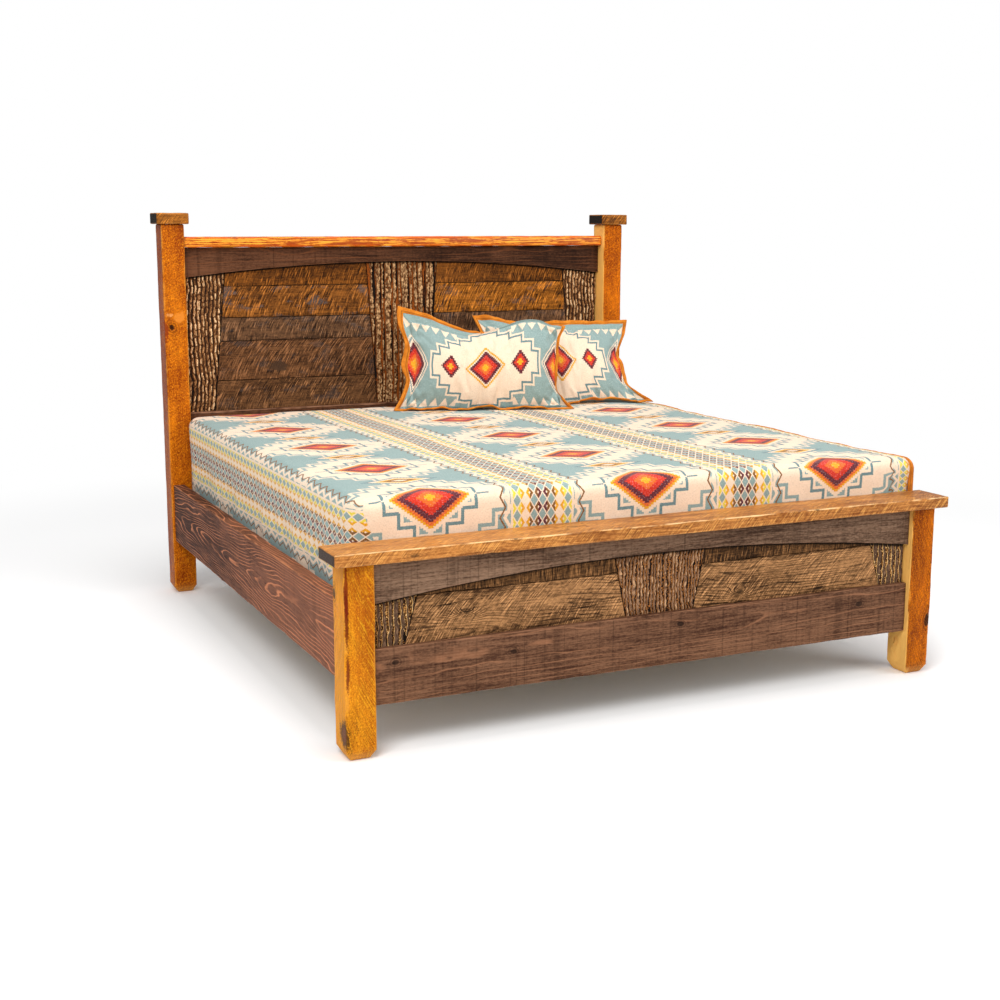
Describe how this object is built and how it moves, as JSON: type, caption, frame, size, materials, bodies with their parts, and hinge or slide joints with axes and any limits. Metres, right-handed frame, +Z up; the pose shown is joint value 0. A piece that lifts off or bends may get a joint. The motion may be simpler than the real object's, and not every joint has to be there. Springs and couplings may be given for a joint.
{
  "type": "rustic king bed",
  "caption": "Timber bed with square posts, arched aprons, plank and bark panels, a bench over the foot, side rails, slats, mattress, blanket and leaning flanged pillows.",
  "frame": {"origin": "on the floor, in the middle of the bed's outer box", "axes": "+X across the bed to the right seen from the foot, +Y from the footboard to the headboard, +Z up"},
  "size_m": [2.186, 2.325, 1.569],
  "materials": {
    "backing_board": "plain board",
    "bark": "rough bark, matt",
    "barnwood": "weathered circle-sawn board, satin",
    "bench_wood": "stained pine, satin",
    "blanket_cloth": "woven wool, matt",
    "cap_wood": "stained and lacquered, satin",
    "dowel_wood": "bare hardwood",
    "frame_wood": "dark stained rough-sawn pine, satin",
    "glide_steel": "zinc plated",
    "hardware_steel": "zinc plated",
    "pillow_cloth": "woven wool, matt",
    "post_wood": "amber stained pine, satin",
    "slat_wood": "bare pine",
    "suede": "tan suede, matt",
    "ticking": "plain ticking",
    "top_rail_wood": "stained pine, satin"
  },
  "bodies": {
    "bed_frame": {"bench_top": "bench_wood", "blanket": "blanket_cloth", "blanket_binding": "suede", "center_legs": "slat_wood", "cleat_left": "slat_wood", "cleat_right": "slat_wood", "cleat_screws": "hardware_steel", "foot_apron": "frame_wood", "foot_backing": "backing_board", "foot_bark_center": "bark", "foot_bark_left": "bark", "foot_bark_right": "bark", "foot_lower_rail": "frame_wood", "foot_plank_left_1": "barnwood", "foot_plank_left_2": "barnwood", "foot_plank_right_1": "barnwood", "foot_plank_right_2": "barnwood", "foot_post_left": "post_wood", "foot_post_right": "post_wood", "foundation": "ticking", "frame_dowels": "dowel_wood", "head_apron": "frame_wood", "head_backing": "backing_board", "head_bark_center": "bark", "head_bark_left": "bark", "head_bark_right": "bark", "head_lower_rail": "frame_wood", "head_plank_left_1": "barnwood", "head_plank_left_2": "barnwood", "head_plank_left_3": "barnwood", "head_plank_left_4": "barnwood", "head_plank_left_5": "barnwood", "head_plank_right_1": "barnwood", "head_plank_right_2": "barnwood", "head_plank_right_3": "barnwood", "head_plank_right_4": "barnwood", "head_plank_right_5": "barnwood", "head_post_cap_left": "cap_wood", "head_post_cap_right": "cap_wood", "head_post_left": "post_wood", "head_post_right": "post_wood", "head_top_rail": "top_rail_wood", "leg_inserts": "hardware_steel", "mattress": "ticking", "plate_screws": "hardware_steel", "post_slot_plates": "hardware_steel", "post_top_dowels": "dowel_wood", "rail_hook_plates": "hardware_steel", "side_rail_left": "frame_wood", "side_rail_right": "frame_wood", "slat_screws": "hardware_steel", "slats": "slat_wood"},
    "glide_foot": {"glide_foot": "glide_steel"},
    "glide_middle": {"glide_middle": "glide_steel"},
    "glide_head": {"glide_head": "glide_steel"},
    "back_pillow": {"pillow_back": "pillow_cloth", "pillow_back_binding": "suede"},
    "front_pillow": {"pillow_front": "pillow_cloth", "pillow_front_binding": "suede"}
  },
  "joints": [
    {"name": "glide_foot_turn_out", "type": "slide", "parent": "bed_frame", "child": "glide_foot", "axis": [0, 0, 1], "range_m": [0, 0.012]},
    {"name": "glide_middle_turn_out", "type": "slide", "parent": "bed_frame", "child": "glide_middle", "axis": [0, 0, 1], "range_m": [0, 0.012]},
    {"name": "glide_head_turn_out", "type": "slide", "parent": "bed_frame", "child": "glide_head", "axis": [0, 0, 1], "range_m": [0, 0.012]},
    {"name": "back_pillow_lift", "type": "slide", "parent": "bed_frame", "child": "back_pillow", "axis": [0, 0, 1], "range_m": [0, 0.6]},
    {"name": "front_pillow_lift", "type": "slide", "parent": "back_pillow", "child": "front_pillow", "axis": [0, 0, 1], "range_m": [0, 0.6]}
  ]
}
